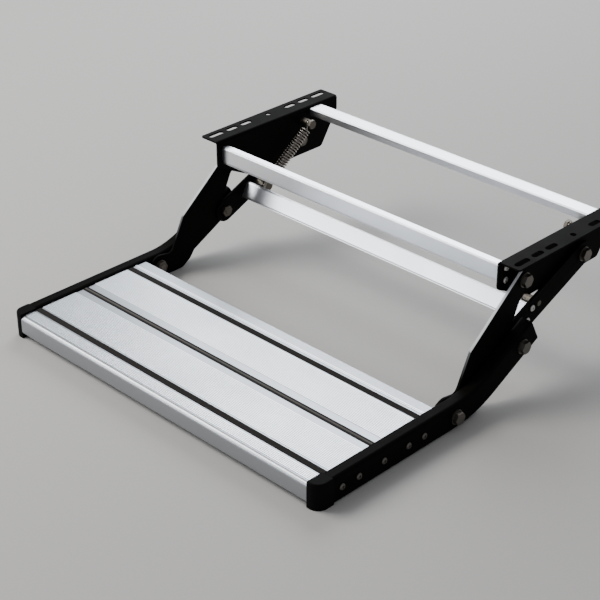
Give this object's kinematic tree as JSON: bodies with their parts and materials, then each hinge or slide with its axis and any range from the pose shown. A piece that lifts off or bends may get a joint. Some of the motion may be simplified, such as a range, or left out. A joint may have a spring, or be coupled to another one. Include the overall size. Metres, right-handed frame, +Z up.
{
  "type": "caravan entry step",
  "caption": "Fold-out entry step for caravans and campers: a ribbed metal tread on a sprung folding linkage, hung from slotted flanges under the floor.",
  "frame": {"origin": "on the ground under the middle of the unfolded step", "axes": "+X along the tread to the right side of a person who climbs the step, +Y from the front edge of the tread towards the vehicle, +Z up"},
  "size_m": [0.6158, 0.6206, 0.1875],
  "materials": {
    "black_coat": "semi-gloss black powder coat",
    "satin_aluminium": "satin anodised",
    "tread_aluminium": "satin anodised, ribbed",
    "anti_slip": "dark rough anti-slip inlay",
    "grey_strip": "grey inlay between dark edges",
    "black_plastic": "moulded, slightly rough",
    "zinc_steel": "bright zinc plate",
    "dark_zinc": "dark zinc plate",
    "spring_wire": "oiled spring wire"
  },
  "bodies": {
    "frame": {"mounting_bracket_right": "black_coat", "mounting_bracket_left": "black_coat", "front_crossbar": "satin_aluminium", "rear_crossbar": "satin_aluminium", "front_crossbar_screws": "dark_zinc", "rear_crossbar_screws": "dark_zinc", "arm_pivot_bolts": "zinc_steel", "arm_pivot_washers": "zinc_steel", "arm_pivot_nuts": "dark_zinc", "arm_pivot_spacers": "dark_zinc", "link_pivot_bolts": "zinc_steel", "link_pivot_washers": "zinc_steel", "link_pivot_nuts": "dark_zinc", "link_pivot_spacers": "dark_zinc", "spring_top_studs": "dark_zinc", "spring_top_nuts": "dark_zinc"},
    "front_arms": {"front_arm_right": "black_coat", "front_arm_left": "black_coat"},
    "tread": {"tread": "tread_aluminium", "anti_slip_strip_front": "anti_slip", "anti_slip_strip_middle": "grey_strip", "anti_slip_strip_rear": "anti_slip", "side_arm_right": "black_coat", "side_arm_left": "black_coat", "end_cap_right": "black_plastic", "end_cap_left": "black_plastic", "tread_screws": "zinc_steel", "foot_pivot_bolts": "zinc_steel", "foot_pivot_washers": "zinc_steel", "foot_pivot_nuts": "dark_zinc", "knee_pivot_bolts": "zinc_steel", "knee_pivot_washers": "zinc_steel"},
    "rear_links": {"rear_link_right": "black_coat", "rear_link_left": "black_coat", "low_crossbar": "satin_aluminium", "low_crossbar_screws": "dark_zinc", "spring_low_studs": "dark_zinc", "knee_pivot_nuts": "dark_zinc"},
    "springs": {"spring_right": "spring_wire", "spring_left": "spring_wire"}
  },
  "joints": [
    {"name": "fold", "type": "hinge", "parent": "frame", "child": "front_arms", "pos_m": [0, 0.09475, 0.1505], "axis": [1, 0, 0], "range_deg": [0, 104]},
    {"name": "tread_pivot", "type": "hinge", "parent": "front_arms", "child": "tread", "pos_m": [0, -0.05825, 0.019], "axis": [1, 0, 0], "range_deg": [-107, 0]},
    {"name": "link_pivot", "type": "hinge", "parent": "frame", "child": "rear_links", "pos_m": [0, 0.23075, 0.1355], "axis": [1, 0, 0], "range_deg": [0, 137]},
    {"name": "spring_swing", "type": "hinge", "parent": "frame", "child": "springs", "pos_m": [0, 0.23275, 0.1675], "axis": [1, 0, 0], "range_deg": [0, 108], "deforming": ["spring_right", "spring_left"]}
  ],
  "couplings": [
    {"joint": "tread_pivot", "follows": "fold", "ratio": -1.0246},
    {"joint": "link_pivot", "follows": "fold", "ratio": 1.3135},
    {"joint": "spring_swing", "follows": "fold", "ratio": 1.0297}
  ]
}
